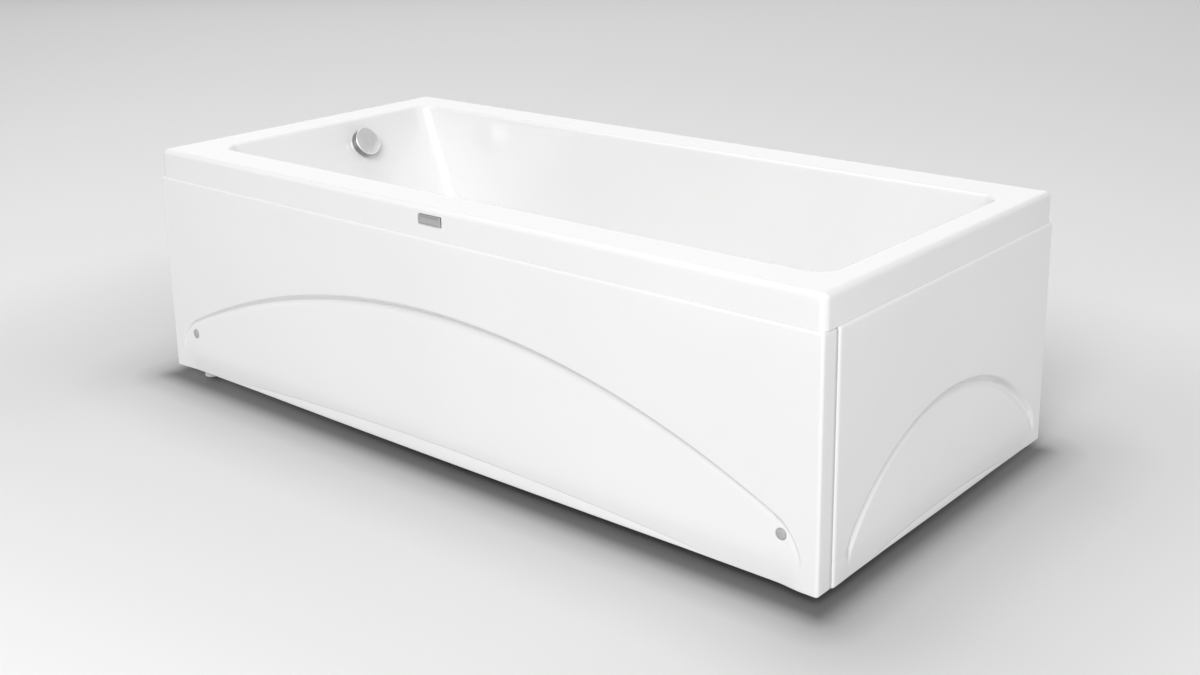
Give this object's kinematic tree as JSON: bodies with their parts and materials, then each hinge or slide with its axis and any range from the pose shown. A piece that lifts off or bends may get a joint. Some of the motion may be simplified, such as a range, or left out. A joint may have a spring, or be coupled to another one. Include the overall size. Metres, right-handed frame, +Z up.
{
  "type": "bathtub",
  "caption": "Rectangular white acrylic bathtub with arched front and end panels, steel leg frame, turning overflow knob, pop-up drain plug and trap.",
  "frame": {"origin": "on the floor under the middle of the bath's outer rectangle", "axes": "+X along the length away from the overflow end, +Y towards the wall behind the bath, +Z up"},
  "size_m": [1.7, 0.8, 0.52],
  "materials": {
    "white_acrylic": "polished white acrylic",
    "brushed_plate": "fine brushed",
    "wood_board": "raw chipboard and softwood",
    "frame_paint": "light grey powder coat",
    "zinc_steel": "zinc plated",
    "grey_plastic": "satin grey",
    "black_plastic": "satin black",
    "chrome": "polished",
    "black_rubber": "matte",
    "waste_plastic": "satin white",
    "hose_plastic": "satin grey",
    "foot_plastic": "satin white"
  },
  "bodies": {
    "bath": {"badge_plate": "brushed_plate", "base_board": "wood_board", "bath_shell": "white_acrylic", "board_screws": "zinc_steel", "bowden_cable": "black_plastic", "clip_screws": "zinc_steel", "drain_flange": "chrome", "drain_gasket": "black_rubber", "end_panel": "white_acrylic", "end_panel_stays": "zinc_steel", "frame_screws": "zinc_steel", "front_batten": "wood_board", "front_panel": "white_acrylic", "front_rail": "frame_paint", "hose_nuts": "waste_plastic", "left_batten": "wood_board", "left_cross_bar": "frame_paint", "left_front_post": "frame_paint", "left_rear_post": "frame_paint", "lock_nuts": "zinc_steel", "middle_cross_bar": "frame_paint", "overflow_body": "waste_plastic", "overflow_flange": "chrome", "overflow_gasket": "black_rubber", "overflow_hose": "hose_plastic", "panel_brackets": "zinc_steel", "panel_clips": "zinc_steel", "panel_screws": "zinc_steel", "rear_batten": "wood_board", "rear_rail": "frame_paint", "right_batten": "wood_board", "right_cross_bar": "frame_paint", "right_front_post": "frame_paint", "right_rear_post": "frame_paint", "rocker_pin": "zinc_steel", "screw_caps": "grey_plastic", "trap_body": "waste_plastic", "trap_lid": "waste_plastic", "trap_nut": "waste_plastic", "tube_end_caps": "black_plastic", "waste_body": "waste_plastic", "weld_nuts": "zinc_steel"},
    "knob": {"overflow_knob": "chrome", "knob_spindle": "zinc_steel", "cable_drum": "waste_plastic"},
    "plug": {"drain_plug": "chrome", "plug_seal": "black_rubber"},
    "rocker": {"lift_rocker": "waste_plastic"},
    "left_front_leg": {"left_front_leg_rod": "zinc_steel", "left_front_foot": "foot_plastic"},
    "left_rear_leg": {"left_rear_leg_rod": "zinc_steel", "left_rear_foot": "foot_plastic"},
    "middle_front_leg": {"middle_front_leg_rod": "zinc_steel", "middle_front_foot": "foot_plastic"},
    "middle_rear_leg": {"middle_rear_leg_rod": "zinc_steel", "middle_rear_foot": "foot_plastic"},
    "right_front_leg": {"right_front_leg_rod": "zinc_steel", "right_front_foot": "foot_plastic"},
    "right_rear_leg": {"right_rear_leg_rod": "zinc_steel", "right_rear_foot": "foot_plastic"}
  },
  "joints": [
    {"name": "knob_turn", "type": "hinge", "parent": "bath", "child": "knob", "pos_m": [-0.72198, 0.07, 0.465], "axis": [0.891, 0, 0.454], "range_deg": [0, 90]},
    {"name": "plug_lift", "type": "slide", "parent": "bath", "child": "plug", "axis": [0, 0, 1], "range_m": [0, 0.01]},
    {"name": "rocker_swing", "type": "hinge", "parent": "bath", "child": "rocker", "pos_m": [-0.38448, 0, 0.0963], "axis": [0, 1, 0], "range_deg": [0, 27]},
    {"name": "left_front_leg_level", "type": "slide", "parent": "bath", "child": "left_front_leg", "axis": [0, 0, 1], "range_m": [-0.02, 0.01]},
    {"name": "left_rear_leg_level", "type": "slide", "parent": "bath", "child": "left_rear_leg", "axis": [0, 0, 1], "range_m": [-0.02, 0.01]},
    {"name": "middle_front_leg_level", "type": "slide", "parent": "bath", "child": "middle_front_leg", "axis": [0, 0, 1], "range_m": [-0.02, 0.01]},
    {"name": "middle_rear_leg_level", "type": "slide", "parent": "bath", "child": "middle_rear_leg", "axis": [0, 0, 1], "range_m": [-0.02, 0.01]},
    {"name": "right_front_leg_level", "type": "slide", "parent": "bath", "child": "right_front_leg", "axis": [0, 0, 1], "range_m": [-0.02, 0.01]},
    {"name": "right_rear_leg_level", "type": "slide", "parent": "bath", "child": "right_rear_leg", "axis": [0, 0, 1], "range_m": [-0.02, 0.01]}
  ],
  "couplings": [
    {"joint": "plug_lift", "follows": "knob_turn", "m_per_rad": 0.006366},
    {"joint": "rocker_swing", "follows": "knob_turn", "ratio": 0.3}
  ]
}
